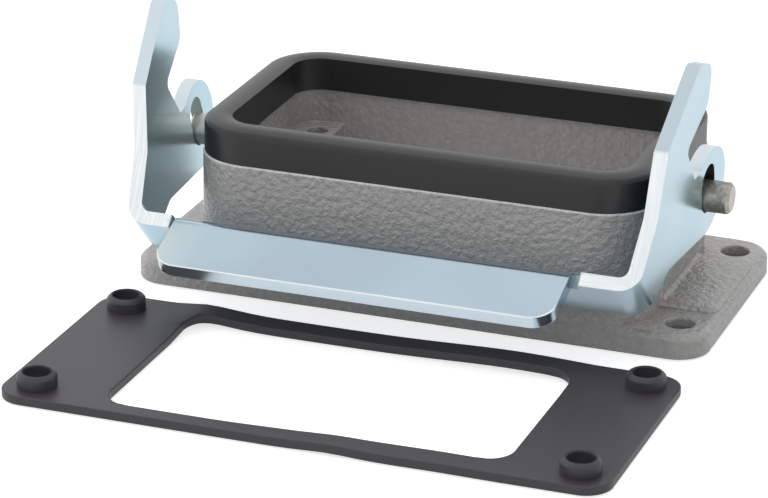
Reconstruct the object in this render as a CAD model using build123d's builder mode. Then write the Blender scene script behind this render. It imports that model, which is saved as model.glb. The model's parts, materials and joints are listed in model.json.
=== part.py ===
from build123d import *
import os
from math import cos, radians, sin, sqrt, tan

# Bulkhead mounting housing of a heavy duty rectangular connector, size 10, with one locking lever.
# It lies open, without its contact insert, and its flange gasket lies taken off in front of it.
# Millimetres. Origin: centre of the flange's underside. +X along the length, +Y to the back, +Z up.

os.makedirs("parts", exist_ok=True)

# Contact insert that the housing takes: its four screws, and the bosses they go into
insert_spacing_x = 57.0
insert_spacing_y = 27.0
insert_margin_x = 4.3
insert_margin_y = 4.1
insert_hole_diameter = 3.3
insert_hole_depth = 10.0
boss_radius = 3.1
boss_drop = 5.7
boss_floor = 1.2

# Cast body: a tapered wall round the insert, with a tongue on its rim
wall_thickness = 4.3
body_draft = 0.5
body_corner_radius = 9.3
rim_height = 21.6
tongue_thickness = 1.5
tongue_height = 3.2

# Flange, flush with the body's long sides, and its four screws
flange_thickness = 3.8
flange_corner_radius = 5.2
flange_edge_break = 0.8
screw_body_gap = 4.4
screw_end_margin = 5.0
screw_side_margin = 5.9
screw_hole_diameter = 4.5

# Raised pad between the two screws at each end
pad_width = 22.0
pad_rise = 0.8
pad_inset = 0.7
pad_corner_radius = 1.6
pad_edge_break = 0.6
pad_foot_radius = 0.8

# Rubber rim seal, pushed over the tongue
seal_height = 5.6
seal_setback = 0.2
seal_ring_width = 4.35
seal_crown_radius = 6.1
seal_crown_inset = 2.6
seal_shoulder_radius = 0.9
seal_fit = 0.02

# Pivot pins, pressed through the end walls just below the rim
pin_diameter = 5.0
pin_cover = 0.5
pin_projection = 1.3
pin_chamfer = 0.5

# Locking lever: one folded steel sheet, measured from the pivot
lever_thickness = 2.2
lever_side_play = 2.5
arm_clearance = 1.6
arm_splay = 5.5
bar_tilt = 45.0
bar_width = 8.9
bar_stop_gap = 0.3
bar_sweep_clearance = 1.2
corner_bend_radius = 1.5
front_step = 1.7
finger_height = 24.2
finger_tip_radius = 2.0
finger_tip_back_radius = 2.9
finger_back_radius = 2.4
finger_neck_radius = 1.3
front_bend_radius = 3.0
front_corner_radius = 1.0
notch_radius = 0.8
shoulder_radius = 3.0
ear_radius = 7.2
ear_rise = 0.6
slot_play = 0.25
slot_run = 2.9
slot_lean = 20.0

# Handle tab, bent down from the middle of the crossbar's upper edge
tab_length = 63.6
tab_shift = 0.9
tab_reach = 9.5
tab_slope = 20.0
tab_bend_radius = 1.2
tab_corner_radius = 3.8
relief_width = 0.95
relief_depth = 1.5

# Flange gasket: flat rubber with a collar round each screw
gasket_side_inset = 1.0
gasket_thickness = 1.4
gasket_corner_radius = 4.2
gasket_end_width = 15.8
gasket_side_width = 4.3
gasket_window_radius = 4.0
collar_hole_diameter = 4.1
collar_wall = 0.95
collar_height = 2.25
collar_lip = 0.55
collar_seat_play = 0.15
gasket_shift = 0.5
gasket_gap = 8.8

overrun = 1.0


# Housing: one aluminium die casting of flange, tapered wall, rim tongue and corner bosses.
cavity_length = insert_spacing_x + 2 * insert_margin_x
cavity_width = insert_spacing_y + 2 * insert_margin_y
body_length = cavity_length + 2 * wall_thickness
flange_width = cavity_width + 2 * wall_thickness
screw_spacing_x = body_length + 2 * screw_body_gap
screw_spacing_y = flange_width - 2 * screw_side_margin
flange_length = screw_spacing_x + 2 * screw_end_margin
rim_shrink = rim_height * tan(radians(body_draft))
seal_length = body_length - 2 * (rim_shrink + seal_setback)
seal_width = flange_width - 2 * (rim_shrink + seal_setback)
seal_corner_radius = body_corner_radius - rim_shrink - seal_setback
tongue_inset = (seal_ring_width - tongue_thickness) / 2
boss_height = rim_height - boss_drop
boss_length = insert_margin_x + boss_radius + wall_thickness / 2
boss_width = insert_margin_y + boss_radius + wall_thickness / 2
pin_height = rim_height - pin_cover - pin_diameter / 2
collar_diameter = collar_hole_diameter + 2 * collar_wall

with BuildPart() as housing:
    with BuildSketch(Plane.XY):
        RectangleRounded(flange_length, flange_width, flange_corner_radius)
    extrude(amount=flange_thickness, taper=body_draft)
    chamfer(housing.edges().group_by(Axis.Z)[-1], length=flange_edge_break)
    # A raised pad stiffens each end between its two screws.
    with BuildSketch(Plane.XY.offset(flange_thickness - flange_edge_break)):
        RectangleRounded(flange_length - 2 * pad_inset, pad_width, pad_corner_radius)
    extrude(amount=flange_edge_break + pad_rise)
    chamfer(housing.edges().group_by(Axis.Z)[-1], length=pad_edge_break)
    # The wall stands flush with the flange's long sides and leans in with the same draft.
    with BuildSketch(Plane.XY):
        RectangleRounded(body_length, flange_width, body_corner_radius)
    extrude(amount=rim_height, taper=body_draft)
    # A fillet joins the end walls to the pads.
    pad_tops = housing.faces().filter_by(Axis.Z).group_by(Axis.Z)[-2]
    pad_feet = [top.edges().filter_by(Axis.Y).sort_by_distance((0, 0, 0))[0] for top in pad_tops]
    fillet(pad_feet, radius=pad_foot_radius)
    # The tongue that the rim seal grips
    with BuildSketch(Plane.XY.offset(rim_height)):
        RectangleRounded(
            seal_length - 2 * tongue_inset,
            seal_width - 2 * tongue_inset,
            seal_corner_radius - tongue_inset,
        )
        RectangleRounded(
            seal_length - 2 * (tongue_inset + tongue_thickness),
            seal_width - 2 * (tongue_inset + tongue_thickness),
            seal_corner_radius - tongue_inset - tongue_thickness,
            mode=Mode.SUBTRACT,
        )
    extrude(amount=tongue_height)
    # The cavity runs right through to the panel's cut-out.
    with BuildSketch(Plane.XY):
        RectangleRounded(cavity_length, cavity_width, body_corner_radius - wall_thickness)
    extrude(amount=rim_height, mode=Mode.SUBTRACT)
    # A boss in each corner takes one of the contact insert's screws.
    with BuildSketch(Plane.XY.offset(boss_floor)):
        with GridLocations(
            insert_spacing_x - 2 * boss_radius + boss_length,
            insert_spacing_y - 2 * boss_radius + boss_width,
            2,
            2,
        ):
            RectangleRounded(boss_length, boss_width, boss_radius)
    extrude(amount=boss_height - boss_floor)
    with BuildSketch(Plane.XY.offset(boss_height)):
        with GridLocations(insert_spacing_x, insert_spacing_y, 2, 2):
            Circle(insert_hole_diameter / 2)
    extrude(amount=-insert_hole_depth, mode=Mode.SUBTRACT)
    # Flange screw holes, each with a seat below for the gasket's collar
    with BuildSketch(Plane.XY):
        with GridLocations(screw_spacing_x, screw_spacing_y, 2, 2):
            Circle(screw_hole_diameter / 2)
    extrude(amount=flange_thickness, mode=Mode.SUBTRACT)
    with BuildSketch(Plane.XY):
        with GridLocations(screw_spacing_x, screw_spacing_y, 2, 2):
            Circle(collar_diameter / 2 + collar_seat_play)
    extrude(amount=collar_height, mode=Mode.SUBTRACT)
    # Bore for the two pivot pins, in line through both end walls
    with BuildSketch(Plane.YZ):
        with Locations((0, pin_height)):
            Circle(pin_diameter / 2)
    extrude(amount=body_length / 2, both=True, mode=Mode.SUBTRACT)

housing.part.label = "housing"
export_step(housing.part, "parts/housing.step")


# Rim seal: a moulded rubber ring, grooved below, pushed down over the tongue onto the rim.
# Its profile is carried once round the rim: x points inwards from its outer wall, y up from the rim.
groove_outer = tongue_inset - seal_fit
groove_inner = tongue_inset + tongue_thickness + seal_fit
groove_depth = tongue_height + seal_fit
seal_crown_back = seal_ring_width - seal_crown_inset
seal_outer_height = seal_height - seal_crown_radius + sqrt(seal_crown_radius**2 - seal_crown_inset**2)
seal_inner_height = seal_height - seal_crown_radius + sqrt(seal_crown_radius**2 - seal_crown_back**2)

with BuildPart() as rim_seal:
    with BuildLine(Plane.XY.offset(rim_height)):
        rim_outline = FilletPolyline(
            (-seal_length / 2, -seal_width / 2),
            (seal_length / 2, -seal_width / 2),
            (seal_length / 2, seal_width / 2),
            (-seal_length / 2, seal_width / 2),
            radius=seal_corner_radius,
            close=True,
        )
    inwards = Axis.Z.direction.cross(rim_outline % 0)
    with BuildSketch(Plane(rim_outline @ 0, x_dir=inwards, z_dir=rim_outline % 0)) as seal_profile:
        with BuildLine():
            Polyline(
                (0, seal_outer_height),
                (0, 0),
                (groove_outer, 0),
                (groove_outer, groove_depth),
                (groove_inner, groove_depth),
                (groove_inner, 0),
                (seal_ring_width, 0),
                (seal_ring_width, seal_inner_height),
            )
            RadiusArc((0, seal_outer_height), (seal_ring_width, seal_inner_height), seal_crown_radius)
        make_face()
        fillet(seal_profile.vertices().group_by(Axis.Y)[-2], radius=seal_shoulder_radius)
    sweep(path=rim_outline)

rim_seal.part.label = "rim_seal"
export_step(rim_seal.part, "parts/rim_seal.step")


# Pivot pins: turned steel, pressed in from outside until flush with the cavity, the tip chamfered.
arm_half_gap = body_length / 2 + arm_clearance + lever_side_play
pin_tip = arm_half_gap + lever_thickness + pin_projection

with BuildPart() as pivot_pin_right:
    with BuildSketch(Plane.YZ.offset(cavity_length / 2)):
        with Locations((0, pin_height)):
            Circle(pin_diameter / 2)
    extrude(amount=pin_tip - cavity_length / 2)
    chamfer(pivot_pin_right.edges().group_by(Axis.X)[-1], length=pin_chamfer)

with BuildPart() as pivot_pin_left:
    mirror(pivot_pin_right.part, about=Plane.YZ)

pivot_pin_right.part.label = "pivot_pin_right"
pivot_pin_left.part.label = "pivot_pin_left"
export_step(pivot_pin_right.part, "parts/pivot_pin_right.step")
export_step(pivot_pin_left.part, "parts/pivot_pin_left.step")


# Locking lever: a flat blank folded into a crossbar, two splayed arms and a handle tab.
# In side view "up_bar" points forward and up in the crossbar's plane, along the arms' fold lines,
# and "off_bar" points back and up, square to the crossbar. Side-view points are (y, z) from the pivot.
up_bar = Vector(-sin(radians(bar_tilt)), cos(radians(bar_tilt)))
off_bar = Vector(cos(radians(bar_tilt)), sin(radians(bar_tilt)))

# The bar's lower inner edge stops just short of the wall, and clears the rim as the lever swings over.
rim_sweep = sqrt((seal_width / 2) ** 2 + (rim_height + seal_height - pin_height) ** 2)
bar_foot_y = flange_width / 2 + bar_stop_gap
bar_foot = Vector(-bar_foot_y, -sqrt((rim_sweep + bar_sweep_clearance) ** 2 - bar_foot_y**2))
bar_top = bar_foot + up_bar * bar_width
bar_reach = -bar_foot.dot(off_bar)
outwards = off_bar * -(lever_thickness + overrun)

# Corners of the arm's outline, as shares of front_reach forward and of finger_height up
front_kink_shares = (-1.0, 0.17)
front_corner_shares = (-0.94, 0.59)
finger_tip_front_shares = (-0.47, 1.02)
finger_tip_back_shares = (-0.225, 0.96)
finger_back_shares = (-0.225, 0.69)
finger_neck_shares = (-0.56, 0.48)
notch_shares = (-0.335, 0.215)
arm_heel_share = -0.655

front_reach = flange_width / 2 + front_step
front_kink = Vector(front_kink_shares[0] * front_reach, front_kink_shares[1] * finger_height)
front_corner = Vector(front_corner_shares[0] * front_reach, front_corner_shares[1] * finger_height)
tip_front = Vector(
    finger_tip_front_shares[0] * front_reach,
    finger_tip_front_shares[1] * finger_height,
)
tip_back = Vector(
    finger_tip_back_shares[0] * front_reach,
    finger_tip_back_shares[1] * finger_height,
)
finger_back = Vector(finger_back_shares[0] * front_reach, finger_back_shares[1] * finger_height)
finger_neck = Vector(finger_neck_shares[0] * front_reach, finger_neck_shares[1] * finger_height)
notch = Vector(notch_shares[0] * front_reach, notch_shares[1] * finger_height)
ear_centre = Vector(0, ear_rise)
ear_front = ear_centre + Vector(-ear_radius, 0).rotate(Axis.Z, -bar_tilt)
ear_foot = ear_centre - Vector(0, ear_radius)
arm_heel = Vector(arm_heel_share * front_reach, ear_foot.Y)

bar_half = arm_half_gap - bar_reach * tan(radians(arm_splay))
arm_top = finger_height + overrun
arm_top_half = arm_half_gap + arm_top * tan(radians(arm_splay))
lever_side = Plane(origin=(-lever_side_play, 0, pin_height), x_dir=(0, 1, 0), z_dir=(1, 0, 0))
lever_fold = Plane(
    origin=(-lever_side_play, 0, pin_height),
    x_dir=(1, 0, 0),
    z_dir=(0, up_bar.X, up_bar.Y),
)

# The tab's bend starts below the bar's upper edge, where the relief slots end.
tab_root = bar_top - up_bar * relief_depth
tab_outer_radius = tab_bend_radius + lever_thickness

tab_side = lever_side.offset(-tab_shift)

with BuildPart() as handle_tab:
    with BuildSketch(tab_side):
        with BuildLine():
            bend = JernArc(tab_root, up_bar, tab_outer_radius, 90 - bar_tilt + tab_slope)
            Line(bend @ 1, bend @ 1 + (bend % 1) * tab_reach)
            offset(amount=lever_thickness, side=Side.LEFT)
        make_face()
    extrude(amount=tab_length / 2, both=True)
    tab_tip = handle_tab.faces().sort_by(Axis.Y)[0]
    fillet(tab_tip.edges().sort_by(SortBy.LENGTH)[:2], radius=tab_corner_radius)

with BuildPart() as locking_lever:
    # The fold: a straight bar with two arms bent up, drawn on its inner face and thickened outwards
    with BuildSketch(lever_fold):
        with BuildLine():
            FilletPolyline(
                (-arm_top_half, arm_top),
                (-bar_half, -bar_reach),
                (bar_half, -bar_reach),
                (arm_top_half, arm_top),
                radius=corner_bend_radius,
            )
            offset(amount=lever_thickness, side=Side.RIGHT)
        make_face()
    extrude(amount=front_reach + finger_height, both=True)
    # Its side outline: hooked finger, notch for the hood's peg, ear round the pivot, crossbar
    with BuildSketch(lever_side):
        with BuildLine():
            FilletPolyline(
                bar_top,
                front_kink,
                front_corner,
                tip_front,
                tip_back,
                finger_back,
                finger_neck,
                notch,
                ear_front,
                radius=[
                    front_bend_radius,
                    front_corner_radius,
                    finger_tip_radius,
                    finger_tip_back_radius,
                    finger_back_radius,
                    finger_neck_radius,
                    notch_radius,
                ],
            )
            Polyline(ear_front, ear_centre, ear_foot)
            FilletPolyline(ear_foot, arm_heel, bar_foot, radius=shoulder_radius)
            Polyline(bar_foot, bar_foot + outwards, bar_top + outwards, bar_top)
        make_face()
        with Locations(ear_centre):
            Circle(ear_radius)
    extrude(amount=arm_top_half + lever_thickness, both=True, mode=Mode.INTERSECT)
    # Slot for the pivot pin, leaning forward from its seat on the pin
    with BuildSketch(lever_side):
        with Locations(Vector(0, slot_run / 2).rotate(Axis.Z, slot_lean)):
            SlotCenterToCenter(slot_run, pin_diameter + 2 * slot_play, rotation=90 + slot_lean)
    extrude(amount=arm_top_half + lever_thickness, both=True, mode=Mode.SUBTRACT)
    # The bar's upper edge is cut back for the tab, with a relief slot at each of its ends.
    with BuildSketch(tab_side):
        with BuildLine():
            Polyline(
                tab_root,
                tab_root + outwards,
                tab_root + outwards + up_bar * (relief_depth + overrun),
                tab_root + up_bar * (relief_depth + overrun),
                close=True,
            )
        make_face()
    extrude(amount=tab_length / 2 + relief_width, both=True, mode=Mode.SUBTRACT)
    add(handle_tab.part)

locking_lever.part.label = "locking_lever"
export_step(locking_lever.part, "parts/locking_lever.step")


# Flange gasket: one flat rubber moulding with a stiff collar round each screw hole.
# It has the flange's hole pattern, and lies in front of the housing as it was taken off.
gasket_length = flange_length
gasket_width = flange_width - 2 * gasket_side_inset
gasket_place = Plane((gasket_shift, -(flange_width + gasket_width) / 2 - gasket_gap, 0))

with BuildPart() as flange_gasket:
    with BuildSketch(gasket_place):
        RectangleRounded(gasket_length, gasket_width, gasket_corner_radius)
        RectangleRounded(
            gasket_length - 2 * gasket_end_width,
            gasket_width - 2 * gasket_side_width,
            gasket_window_radius,
            mode=Mode.SUBTRACT,
        )
    extrude(amount=gasket_thickness)
    with BuildSketch(gasket_place.offset(gasket_thickness)):
        with GridLocations(screw_spacing_x, screw_spacing_y, 2, 2):
            Circle(collar_diameter / 2)
    extrude(amount=collar_height)
    chamfer(flange_gasket.edges().group_by(Axis.Z)[-1], length=collar_lip)
    with BuildSketch(gasket_place):
        with GridLocations(screw_spacing_x, screw_spacing_y, 2, 2):
            Circle(collar_hole_diameter / 2)
    extrude(amount=gasket_thickness + collar_height, mode=Mode.SUBTRACT)

flange_gasket.part.label = "flange_gasket"
export_step(flange_gasket.part, "parts/flange_gasket.step")
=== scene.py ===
import json

import bmesh
import bpy
import numpy as np
from mathutils import Matrix, Vector

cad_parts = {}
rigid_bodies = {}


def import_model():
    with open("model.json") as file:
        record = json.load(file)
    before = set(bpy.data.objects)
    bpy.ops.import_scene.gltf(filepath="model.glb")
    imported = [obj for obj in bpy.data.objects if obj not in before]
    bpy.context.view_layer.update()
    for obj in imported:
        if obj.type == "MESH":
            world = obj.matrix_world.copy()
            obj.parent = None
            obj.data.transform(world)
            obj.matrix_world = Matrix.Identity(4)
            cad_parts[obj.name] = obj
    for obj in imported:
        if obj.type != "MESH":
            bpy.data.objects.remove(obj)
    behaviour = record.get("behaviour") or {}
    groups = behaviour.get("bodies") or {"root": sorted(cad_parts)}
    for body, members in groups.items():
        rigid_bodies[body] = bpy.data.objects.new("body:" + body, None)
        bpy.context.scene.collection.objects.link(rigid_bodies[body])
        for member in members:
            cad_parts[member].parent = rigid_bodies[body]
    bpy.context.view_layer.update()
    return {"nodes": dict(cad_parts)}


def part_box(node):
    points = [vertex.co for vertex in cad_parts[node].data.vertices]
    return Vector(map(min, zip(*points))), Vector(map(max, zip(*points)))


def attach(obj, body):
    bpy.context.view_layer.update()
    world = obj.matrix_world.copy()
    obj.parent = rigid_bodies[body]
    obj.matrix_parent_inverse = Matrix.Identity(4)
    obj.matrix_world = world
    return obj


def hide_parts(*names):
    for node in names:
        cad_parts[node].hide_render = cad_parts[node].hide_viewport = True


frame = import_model()
parts = frame["nodes"]

# Camera: a long lens from the front right, a little above the rim, so that the cavity, the front wall and
# the right end of the flange all show. Its place and turn are in metres and unit vectors of the part's frame.
eye = Vector((0.17314, -0.50858, 0.21354))
view_right = Vector((0.938563, 0.345007, 0.008309))
view_up = Vector((-0.132727, 0.338637, 0.931509))
focal_length = 170.65
sensor_width = 36.0
sight_range = 20.0
in_scene = bpy.context.scene.collection.objects

camera_data = bpy.data.cameras.new("product_camera")
camera_data.lens = focal_length
camera_data.sensor_width = sensor_width
camera_data.clip_end = sight_range
camera = bpy.data.objects.new("product_camera", camera_data)
turn = Matrix((view_right, view_up, view_right.cross(view_up))).transposed()
camera.matrix_world = Matrix.Translation(eye) @ turn.to_4x4()
in_scene.link(camera)
bpy.context.scene.camera = camera
bpy.context.scene.view_settings.view_transform = "Standard"


# Studio: a white sweep under and behind the part, seen as plain white, with soft lamps above, left and right.
# Mirrors see the same white sweep as the camera does, and the floor keeps the part's shadow.
white = (1, 1, 1, 1)
fill_strength = 0.64
seen_lift = 0.72
mirrored_lift = 0.45
floor_half = 3
floor_drop = 0.0002
lamp_target = Vector((0, -0.02, 0.01))


def linear(code):
    """Turns an sRGB hex colour into linear red, green, blue and alpha: each channel c is c / 12.92
    up to 0.04045, and ((c + 0.055) / 1.055) to the power 2.4 above it."""
    channels = np.array([int(code[i : i + 2], 16) for i in (1, 3, 5)]) / 255
    straight = channels / 12.92
    curved = ((channels + 0.055) / 1.055) ** 2.4
    return (*np.where(channels <= 0.04045, straight, curved).tolist(), 1.0)


def set_inputs(tree, node, inputs):
    """Sets a node's inputs. inputs maps a socket's name or number to a value, to a hex colour, or to the
    socket that is linked to it."""
    for socket, value in inputs.items():
        if isinstance(value, bpy.types.NodeSocket):
            tree.links.new(value, node.inputs[socket])
        elif isinstance(value, str):
            node.inputs[socket].default_value = linear(value)
        else:
            node.inputs[socket].default_value = value


def add_node(tree, kind, inputs=None, stops=(), **settings):
    """Adds one node to a tree, with its settings and inputs, and gives its outputs. stops holds the place and
    the hex colour of both ends of a colour ramp."""
    node = tree.nodes.new(kind)
    for name, value in settings.items():
        setattr(node, name, value)
    for number, (position, code) in enumerate(stops):
        node.color_ramp.elements[number].position = position
        node.color_ramp.elements[number].color = linear(code)
    set_inputs(tree, node, inputs or {})
    return node.outputs


world = bpy.data.worlds.new("white_studio")
bpy.context.scene.world = world
world.use_nodes = True
sky = world.node_tree
sky.nodes.clear()
path = add_node(sky, "ShaderNodeLightPath")
eye_or_mirror = {0: path["Is Camera Ray"], 1: path["Is Glossy Ray"]}
seen = add_node(sky, "ShaderNodeMath", eye_or_mirror, operation="MAXIMUM")[0]
seen_or_through = {0: seen, 1: path["Is Transmission Ray"]}
seen = add_node(sky, "ShaderNodeMath", seen_or_through, operation="MAXIMUM")[0]
fill_light = add_node(sky, "ShaderNodeBackground", {"Color": "#f4f6f8", "Strength": fill_strength})
backdrop = add_node(sky, "ShaderNodeBackground", {"Color": white, "Strength": 1.0})
either = add_node(sky, "ShaderNodeMixShader", {0: seen, 1: fill_light[0], 2: backdrop[0]})
add_node(sky, "ShaderNodeOutputWorld", {"Surface": either[0]})

paper = bpy.data.materials.new("matte_white_paper")
paper.use_nodes = True
sheet = paper.node_tree
sheet.nodes.clear()
path = add_node(sheet, "ShaderNodeLightPath")
in_mirror = {0: path["Is Glossy Ray"], 1: mirrored_lift}
mirrored = add_node(sheet, "ShaderNodeMath", in_mirror, operation="MULTIPLY")
seen_and_mirrored = {0: path["Is Camera Ray"], 1: seen_lift, 2: mirrored[0]}
lift = add_node(sheet, "ShaderNodeMath", seen_and_mirrored, operation="MULTIPLY_ADD")
matte = add_node(sheet, "ShaderNodeBsdfDiffuse", {"Color": "#cccccc"})
glow = add_node(sheet, "ShaderNodeEmission", {"Color": white, "Strength": lift[0]})
both = add_node(sheet, "ShaderNodeAddShader", {0: matte[0], 1: glow[0]})
add_node(sheet, "ShaderNodeOutputMaterial", {"Surface": both[0]})

corners = [(x * floor_half, y * floor_half, -floor_drop) for x, y in ((-1, -1), (1, -1), (1, 1), (-1, 1))]
floor_mesh = bpy.data.meshes.new("studio_floor")
floor_mesh.from_pydata(corners, [], [(0, 1, 2, 3)])
floor_mesh.materials.append(paper)
studio_floor = bpy.data.objects.new("studio_floor", floor_mesh)
in_scene.link(studio_floor)

for name, place, size, power in (
    ("overhead_softbox", (-0.6, 0.1, 1.5), 2.2, 16.5),
    ("left_softbox", (-1.3, -0.7, 0.7), 1.2, 5.0),
    ("right_softbox", (1.2, 0.2, 0.5), 1.0, 0.3),
):
    lamp_data = bpy.data.lights.new(name, "AREA")
    lamp_data.energy = power
    lamp_data.size = size
    lamp = bpy.data.objects.new(name, lamp_data)
    aim = lamp_target - Vector(place)
    lamp.matrix_world = Matrix.Translation(place) @ aim.to_track_quat("-Z", "Y").to_matrix().to_4x4()
    lamp.visible_glossy = False
    in_scene.link(lamp)


# Housing: an aluminium die casting with a hammertone paint, which draws together into beads as it dries.
# The eye sees a mid grey with soft beads 1 mm across and a finer grain, and a painted highlight, a lighter
# grey, runs along the rim's outer edge.
bead_size = 0.001
bead_height = 0.00024
bead_drift = 0.0005
grain_size = 0.00037
grain_height = 0.00017
rim_line_foot = 0.0212
rim_line_head = 0.0214
foot_low = 0.0029
foot_high = 0.0048
wall_half = 0.0375
pad_half = 0.0115
casting_edge_break = 0.0003
merge_distance = 1e-6
flat_angle = 0.002
sharp_angle = 0.52


def start_material(name):
    """Starts a node material, and gives it with its tree, its shader and its object coordinates."""
    material = bpy.data.materials.new(name)
    material.use_nodes = True
    tree = material.node_tree
    return material, tree, tree.nodes["Principled BSDF"], add_node(tree, "ShaderNodeTexCoord")["Object"]


def merged_piece(node_name, piece_name, body, materials, keep_sharp):
    """Puts in a CAD node's place a copy of it, whose loose triangles are merged and joined into flat faces.
    Its edges over 30 degrees are marked for a bevel, but keep_sharp picks out, by an edge's middle, those
    that stay sharp."""
    mesh = parts[node_name].data.copy()
    mesh.name = piece_name
    merged = bmesh.new()
    merged.from_mesh(mesh)
    bmesh.ops.remove_doubles(merged, verts=merged.verts, dist=merge_distance)
    bmesh.ops.dissolve_limit(merged, angle_limit=flat_angle, verts=merged.verts, edges=merged.edges)
    weight = merged.edges.layers.float.new("bevel_weight_edge")
    for edge in merged.edges:
        if not edge.is_manifold or edge.calc_face_angle() < sharp_angle:
            continue
        middle = (edge.verts[0].co + edge.verts[1].co) / 2
        if keep_sharp(*middle):
            edge.smooth = False
        else:
            edge[weight] = 1.0
    merged.to_mesh(mesh)
    merged.free()
    mesh.polygons.foreach_set("use_smooth", np.ones(len(mesh.polygons), dtype=bool))
    mesh.materials.clear()
    for material in materials:
        mesh.materials.append(material)
    piece = bpy.data.objects.new(piece_name, mesh)
    in_scene.link(piece)
    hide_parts(node_name)
    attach(piece, body)
    return piece


def round_edges(piece, width, material=-1):
    """Rounds the marked edges of a piece by a width in metres, and gives them the material of that number."""
    edge_break = piece.modifiers.new("edge_break", "BEVEL")
    edge_break.width = width
    edge_break.segments = 2
    edge_break.limit_method = "WEIGHT"
    edge_break.use_clamp_overlap = False
    edge_break.material = material
    shading = piece.modifiers.new("face_weighted_shading", "WEIGHTED_NORMAL")
    shading.keep_sharp = True


def by_pads_or_wall_foot(x, y, z):
    """Picks out the narrow strips round the end pads and along the wall's foot, where a bevel has no room."""
    return foot_low < z < foot_high and (abs(x) < wall_half or abs(y) < pad_half)


painted_casting, paint, shader, spot = start_material("hammertone_paint_on_die_cast_aluminium")
wander = add_node(paint, "ShaderNodeTexNoise", {"Vector": spot, "Scale": 1 / bead_size})
drift = {0: wander["Color"], 1: (bead_drift, bead_drift, bead_drift), 2: spot}
drifted = add_node(paint, "ShaderNodeVectorMath", drift, operation="MULTIPLY_ADD")
bead = {"Vector": drifted[0], "Scale": 1 / bead_size, "Smoothness": 0.7}
beads = add_node(paint, "ShaderNodeTexVoronoi", bead, feature="SMOOTH_F1")["Distance"]
grain = add_node(paint, "ShaderNodeTexNoise", {"Vector": spot, "Scale": 1 / grain_size, "Detail": 1.0})["Fac"]
swell = {"Strength": 1.0, "Distance": bead_height, "Height": beads}
coarse = add_node(paint, "ShaderNodeBump", swell, invert=True)["Normal"]
ripple = {"Strength": 1.0, "Distance": grain_height, "Height": grain, "Normal": coarse}
fine = add_node(paint, "ShaderNodeBump", ripple)["Normal"]
tone = add_node(paint, "ShaderNodeValToRGB", {"Fac": beads}, stops=((0.2, "#adaaa7"), (0.6, "#a6a3a0")))
place = add_node(paint, "ShaderNodeSeparateXYZ", {0: spot})
# Above rim_line_foot the colour turns a lighter grey: a painted highlight along the rim's outer edge.
at_rim = add_node(paint, "ShaderNodeMapRange", {0: place["Z"], 1: rim_line_foot, 2: rim_line_head})
rim_highlight_mix = {0: at_rim[0], 6: tone["Color"], 7: "#d2d2d0"}
colour_with_rim_highlight = add_node(paint, "ShaderNodeMix", rim_highlight_mix, data_type="RGBA")[2]
set_inputs(paint, shader, {"Base Color": colour_with_rim_highlight, "Normal": fine, "Roughness": 0.17, "IOR": 1.6})

painted_housing = merged_piece(
    "housing", "painted_housing", "base", [painted_casting], by_pads_or_wall_foot
)
round_edges(painted_housing, casting_edge_break)


# Rim seal: black nitrile rubber, moulded in one ring with a fine matt skin, and pushed down over the tongue.
# It shows a dull grey sheen along its rounded upper edges and is nearly black inside. The skin's grain is
# drawn 0.4 mm across, coarser than a real one, so that it shows.
skin_grain = 0.0004
skin_depth = 0.00003


def moulded_rubber(name, code, roughness, skin_strength):
    """Makes a rubber of one colour, whose skin has the fine grain of its mould."""
    material, rubber, shader, spot = start_material(name)
    skin = add_node(rubber, "ShaderNodeTexNoise", {"Vector": spot, "Scale": 1 / skin_grain, "Detail": 3.0})
    height = {"Strength": skin_strength, "Distance": skin_depth, "Height": skin["Fac"]}
    skin_bump = add_node(rubber, "ShaderNodeBump", height)["Normal"]
    set_inputs(rubber, shader, {"Base Color": code, "Normal": skin_bump, "Roughness": roughness})
    return material


def dress(node_name, material):
    """Gives a CAD node one material all over."""
    mesh = parts[node_name].data
    mesh.materials.clear()
    mesh.materials.append(material)


dress("rim_seal", moulded_rubber("moulded_nitrile_rubber_black", "#242224", 0.33, 0.15))


# Pivot pins: bright steel bar, turned and chamfered, so that fine rings run round it, and pressed through the
# end walls. The rings are drawn 0.3 mm apart, coarser than real ones, so that they show. The right pin is
# stained by handling; the left one is painted paler all over, a painted highlight, and the faced ends are
# plain.
tool_mark = 0.0003
waves_per_scale = 0.314
ring_depth = 0.00002
stain_size = 0.0007
faced_depth = 0.00002
pin_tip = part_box("pivot_pin_right")[1][0]

turned_steel, steel, shader, spot = start_material("turned_steel")
turning = {"Vector": spot, "Scale": waves_per_scale / tool_mark}
waver = {"Distortion": 1.5, "Detail": 2.0, "Detail Scale": 2.0}
rings = add_node(steel, "ShaderNodeTexWave", turning | waver, bands_direction="X")["Fac"]
ring_bump = add_node(steel, "ShaderNodeBump", {"Strength": 0.25, "Distance": ring_depth, "Height": rings})
stain = add_node(steel, "ShaderNodeTexNoise", {"Vector": spot, "Scale": 1 / stain_size, "Detail": 2.0})["Fac"]
stained = add_node(steel, "ShaderNodeValToRGB", {"Fac": stain}, stops=((0.4, "#97938c"), (0.65, "#b5b1a8")))
place = add_node(steel, "ShaderNodeSeparateXYZ", {0: spot})
outward = add_node(steel, "ShaderNodeMath", {0: place["X"]}, operation="ABSOLUTE")
near_tip = {0: outward[0], 1: pin_tip - faced_depth}
on_end = add_node(steel, "ShaderNodeMath", near_tip, operation="GREATER_THAN")
# The left pin is painted a paler colour all over: a painted highlight.
on_left = add_node(steel, "ShaderNodeMath", {0: place["X"], 1: 0.0}, operation="LESS_THAN")
tint = stained["Color"]
for share, colour in ((on_left[0], "#dedbd4"), (on_end[0], "#b9b6b0")):
    tint = add_node(steel, "ShaderNodeMix", {0: share, 6: tint, 7: colour}, data_type="RGBA")[2]
bright_bar = {"Base Color": tint, "Normal": ring_bump["Normal"], "Metallic": 1.0, "Roughness": 0.38}
set_inputs(steel, shader, bright_bar)
for pin in ("pivot_pin_left", "pivot_pin_right"):
    dress(pin, turned_steel)


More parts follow.
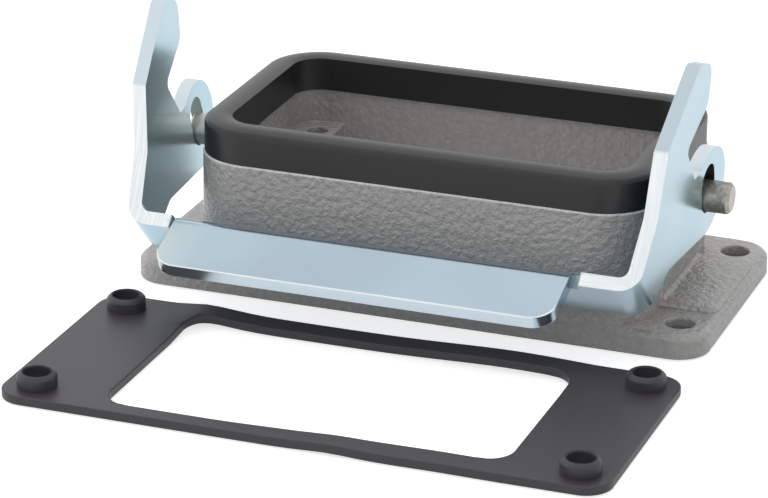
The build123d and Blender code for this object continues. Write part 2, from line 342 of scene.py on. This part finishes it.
# Locking lever: one sheet of steel, punched, folded, zinc plated with a blue passivation and hung on pins.
# Its sheet faces mirror the studio softly in a pale blue; its punched edges are whiter and duller, with lines
# along them where the punch sheared the sheet. Only the tab's rim is ground smooth and round.
bar_lean = np.radians(45)
up_bar = np.array((0, -np.sin(bar_lean), np.cos(bar_lean)))
off_bar = np.array((0, np.cos(bar_lean), np.sin(bar_lean)))
tab_slope = np.radians(20)
tab_way = np.array((0, -np.cos(tab_slope), -np.sin(tab_slope)))
low, high = (np.array(corner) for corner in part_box("locking_lever"))
lever_middle = (low[0] + high[0]) / 2
bar_half = 0.037
arm_start = 0.0355
arm_full = 0.038
tab_middle = lever_middle - 0.0009
tab_half = 0.0318
tab_foot = 0.0318
tab_root = 0.0285
slack = 0.0001
rim_depth = 0.0002
rim_edge_break = 0.00018
pale_start = -0.0285
pale_full = -0.0345
ear_start = -0.013
ear_full = -0.011
finger_start = 0.0327
finger_full = 0.0331
pivot_height = 0.0186
slot_reach = 0.0059
right_relief = 0.0289
left_relief = -0.0357
relief_half = 0.00065
bar_facing = 0.9
arm_facing = 0.02
fold_slack = 0.03
cloud_size = 0.022
# Roll marks and shear lines are drawn 0.6 and 0.4 mm wide, coarser than real ones, so that they show.
roll_marks_per_metre = (80.0, 1600.0, 1600.0)
roll_mark_depth = 0.00001
bar_lines_per_metre = (90.0, 2500.0, 2500.0)
arm_lines_per_metre = (2500.0, 90.0, 90.0)
shear_line_depth = 0.00002


def read_rows(items, name):
    """Reads a vector of every vertex or face into one array, with a row for each."""
    values = np.empty(3 * len(items))
    items.foreach_get(name, values)
    return values.reshape(-1, 3)


def beside_tab(x, y, z):
    """Picks out every edge but the tab's, because only the tab's rim was ground round."""
    return abs(x - tab_middle) > tab_half + slack or Vector((x, y, z)).dot(up_bar) < tab_foot


tab_edge = float((read_rows(parts["locking_lever"].data.vertices, "co") @ tab_way).max())

zinc_plate, zinc, shader, spot = start_material("blue_passivated_zinc_on_sheet_steel")
cloud = add_node(zinc, "ShaderNodeTexNoise", {"Vector": spot, "Scale": 1 / cloud_size, "Detail": 1.0})["Fac"]
blue = add_node(zinc, "ShaderNodeValToRGB", {"Fac": cloud}, stops=((0.35, "#b0c0ce"), (0.65, "#b8cad7")))
cyan = add_node(zinc, "ShaderNodeValToRGB", {"Fac": cloud}, stops=((0.35, "#accfdd"), (0.65, "#bcd2dc")))
place = add_node(zinc, "ShaderNodeSeparateXYZ", {0: spot})
outward = add_node(zinc, "ShaderNodeMath", {0: place["X"]}, operation="ABSOLUTE")
on_arms = add_node(zinc, "ShaderNodeMapRange", {0: outward[0], 1: arm_start, 2: arm_full})
spot_and_way = {0: spot, 1: tab_way.tolist()}
reach = add_node(zinc, "ShaderNodeVectorMath", spot_and_way, operation="DOT_PRODUCT")["Value"]
on_rim = add_node(zinc, "ShaderNodeMath", {0: reach, 1: tab_edge - rim_depth}, operation="GREATER_THAN")
to_left_end = add_node(zinc, "ShaderNodeMapRange", {0: place["X"], 1: pale_start, 2: pale_full})
tint = blue["Color"]
for share, colour in ((on_rim[0], "#c9d7e0"), (to_left_end[0], "#c8d6d9"), (on_arms[0], cyan["Color"])):
    tint = add_node(zinc, "ShaderNodeMix", {0: share, 6: tint, 7: colour}, data_type="RGBA")[2]
roll_way = add_node(zinc, "ShaderNodeMapping", {"Vector": spot, "Scale": roll_marks_per_metre})[0]
rolled = add_node(zinc, "ShaderNodeTexNoise", {"Vector": roll_way, "Scale": 1.0, "Detail": 2.0})["Fac"]
roll_mark = {"Strength": 0.25, "Distance": roll_mark_depth, "Height": rolled}
rolled_bump = add_node(zinc, "ShaderNodeBump", roll_mark)
bright_plate = {"Base Color": tint, "Normal": rolled_bump["Normal"], "Metallic": 1.0, "Roughness": 0.2}
set_inputs(zinc, shader, bright_plate)

punched_edge, shear, shader, spot = start_material("blue_passivated_zinc_on_punched_edge")
place = add_node(shear, "ShaderNodeSeparateXYZ", {0: spot})
outward = add_node(shear, "ShaderNodeMath", {0: place["X"]}, operation="ABSOLUTE")
beyond_bar = add_node(shear, "ShaderNodeMath", {0: outward[0], 1: bar_half}, operation="GREATER_THAN")
along_bar = add_node(shear, "ShaderNodeMapping", {"Vector": spot, "Scale": bar_lines_per_metre})
along_arm = add_node(shear, "ShaderNodeMapping", {"Vector": spot, "Scale": arm_lines_per_metre})
bar_or_arm = {0: beyond_bar[0], 4: along_bar[0], 5: along_arm[0]}
shear_way = add_node(shear, "ShaderNodeMix", bar_or_arm, data_type="VECTOR")[1]
lines = add_node(shear, "ShaderNodeTexNoise", {"Vector": shear_way, "Scale": 1.0, "Detail": 2.0})["Fac"]
shear_line = {"Strength": 0.5, "Distance": shear_line_depth, "Height": lines}
line_bump = add_node(shear, "ShaderNodeBump", shear_line)
sheared = add_node(shear, "ShaderNodeValToRGB", {"Fac": lines}, stops=((0.3, "#dfe6ea"), (0.7, "#f6f9fa")))
# The ears are a little darker. The fingers' edges carry a painted reflection, darker on the right than on
# the left; the slots round the pins carry a painted reflection of the dark seal in a dark grey-green; and
# the relief slots beside the tab are painted darker as painted shade.
on_ear = add_node(shear, "ShaderNodeMapRange", {0: place["Y"], 1: ear_start, 2: ear_full})
on_finger = add_node(shear, "ShaderNodeMapRange", {0: place["Z"], 1: finger_start, 2: finger_full})
on_right = add_node(shear, "ShaderNodeMath", {0: place["X"], 1: 0.0}, operation="GREATER_THAN")
left_or_right = {0: on_right[0], 6: "#d0dde4", 7: "#c1cfd6"}
finger = add_node(shear, "ShaderNodeMix", left_or_right, data_type="RGBA")[2]
above_pivot = add_node(shear, "ShaderNodeMath", {0: place["Z"], 1: pivot_height}, operation="SUBTRACT")
from_pivot = add_node(shear, "ShaderNodeCombineXYZ", {0: place["Y"], 1: above_pivot[0]})
pivot_distance = add_node(shear, "ShaderNodeVectorMath", {0: from_pivot[0]}, operation="LENGTH")["Value"]
in_slot = add_node(shear, "ShaderNodeMath", {0: pivot_distance, 1: slot_reach}, operation="LESS_THAN")
right_slot = {0: place["X"], 1: right_relief, 2: relief_half}
left_slot = {0: place["X"], 1: left_relief, 2: relief_half}
in_right = add_node(shear, "ShaderNodeMath", right_slot, operation="COMPARE")
in_left = add_node(shear, "ShaderNodeMath", left_slot, operation="COMPARE")
in_relief = add_node(shear, "ShaderNodeMath", {0: in_right[0], 1: in_left[0]}, operation="MAXIMUM")
tint = sheared["Color"]
for share, colour in (
    (on_ear[0], "#d6e0e6"),
    (on_finger[0], finger),
    (in_slot[0], "#77837f"),
    (in_relief[0], "#96a6aa"),
):
    tint = add_node(shear, "ShaderNodeMix", {0: share, 6: tint, 7: colour}, data_type="RGBA")[2]
dull_edge = {"Base Color": tint, "Normal": line_bump["Normal"], "Metallic": 1.0, "Roughness": 0.35}
set_inputs(shear, shader, dull_edge)

plated_lever = merged_piece(
    "locking_lever", "plated_lever", "lever", [zinc_plate, punched_edge], beside_tab
)
# A sheet face stands square to the fold lines: on the bar it looks along off_bar, on the arms mostly along X.
# The tab's rim was ground smooth like the sheet.
faces = plated_lever.data.polygons
normals = read_rows(faces, "normal")
centres = read_rows(faces, "center")
in_bar = np.abs(centres[:, 0] - lever_middle) < bar_half
in_tab = (np.abs(centres[:, 0] - tab_middle) < tab_half + slack) & (centres @ up_bar > tab_root)
on_bar = np.abs(normals @ off_bar) > bar_facing
on_arm = (np.abs(normals @ up_bar) < fold_slack) & (np.abs(normals[:, 0]) > arm_facing)
is_sheet = in_tab | np.where(in_bar, on_bar, on_arm)
faces.foreach_set("material_index", np.where(is_sheet, 0, 1).astype(np.int32))
round_edges(plated_lever, rim_edge_break, 1)


# Flange gasket: dark grey rubber, moulded flat with its four collars, a little duller than the seal.
# It lies loose in front of the housing, so its two long strips have relaxed into shallow waves.
low, high = (np.array(corner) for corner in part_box("flange_gasket"))
gasket_middle = (low + high) / 2
gasket_half = (high - low) / 2
sheet_thickness = 0.0014
strip_width = 0.0043
collar_x = 0.0415
collar_y = 0.016
collar_reach = 0.0035
gasket_edge_break = 0.0002
wave_half = 0.0375
wave_cuts = 31
cut_snap = 1e-7


def smooth_step(value, start, end):
    """Rises from 0 at start to 1 at end: with t the clipped share of the way, 3 t^2 - 2 t^3."""
    share = np.clip((value - start) / (end - start), 0, 1)
    return share * share * (3 - 2 * share)


def at_collar_foot(x, y, z):
    """Picks out the inner corner where a collar stands on the sheet."""
    near_x = abs(abs(x - gasket_middle[0]) - collar_x) < collar_reach
    near_y = abs(abs(y - gasket_middle[1]) - collar_y) < collar_reach
    return abs(z - sheet_thickness) < slack and near_x and near_y


def relax(spots):
    """Lets the two long strips lie in shallow waves. With u and v the place along and across the gasket, in
    mm, the back strip rises by 0.68 exp(-((u + 30) / 6.5)^2) + 0.55 exp(-((u - 20) / 13)^2) and draws its
    outer edge in by 0.4; the front strip rises by 0.28 exp(-((u - 5.5) / 4.5)^2) +
    0.06 exp(-((u - 22) / 5)^2) and draws its inner edge forward by 1.2 on the left and 0.5 in the middle.
    All of it fades out from 29 to 37 mm off the middle."""
    u = (spots[:, 0] - gasket_middle[0]) * 1000
    v = (spots[:, 1] - gasket_middle[1]) * 1000
    edge = gasket_half[1] * 1000
    strip = strip_width * 1000
    fade = 1 - smooth_step(np.abs(u), 29, 37)
    on_back = smooth_step(v, edge - 3 * strip, edge - strip) * fade
    on_front = smooth_step(-v, edge - 3 * strip, edge - strip) * fade
    back_rise = 0.68 * np.exp(-(((u + 30) / 6.5) ** 2)) + 0.55 * np.exp(-(((u - 20) / 13) ** 2))
    front_rise = 0.28 * np.exp(-(((u - 5.5) / 4.5) ** 2)) + 0.06 * np.exp(-(((u - 22) / 5) ** 2))
    back_draw = 0.4 * np.clip((v - edge + strip) / strip, 0, 1)
    forward = 1.2 * (1 - smooth_step(u, -14, 10)) + 0.5 * np.exp(-(((u - 5.5) / 6) ** 2))
    front_draw = forward * np.clip((edge + v) / strip, 0, 1)
    moved = spots.copy()
    moved[:, 1] -= (back_draw * on_back + front_draw * on_front) / 1000
    moved[:, 2] += (back_rise * on_back + front_rise * on_front) / 1000
    return moved


gasket_rubber = moulded_rubber("moulded_rubber_dark_grey", "#39363a", 0.42, 0.2)
loose_gasket = merged_piece(
    "flange_gasket", "loose_gasket", "base", [gasket_rubber], at_collar_foot
)
round_edges(loose_gasket, gasket_edge_break)
across = np.linspace(-wave_half, wave_half, wave_cuts) + gasket_middle[0]
planes = [((x, 0, 0), (1, 0, 0)) for x in across]
for strips in (-3, -2, -1, 1, 2, 3):
    along = gasket_middle[1] + np.sign(strips) * gasket_half[1] - strips * strip_width
    planes.append(((0, along, 0), (0, 1, 0)))
cut = bmesh.new()
cut.from_mesh(loose_gasket.data)
for point, facing in planes:
    every = [*cut.verts, *cut.edges, *cut.faces]
    bmesh.ops.bisect_plane(cut, geom=every, dist=cut_snap, plane_co=point, plane_no=facing)
bmesh.ops.triangulate(cut, faces=cut.faces)
cut.to_mesh(loose_gasket.data)
cut.free()
vertices = loose_gasket.data.vertices
vertices.foreach_set("co", relax(read_rows(vertices, "co")).ravel())
loose_gasket.data.update()
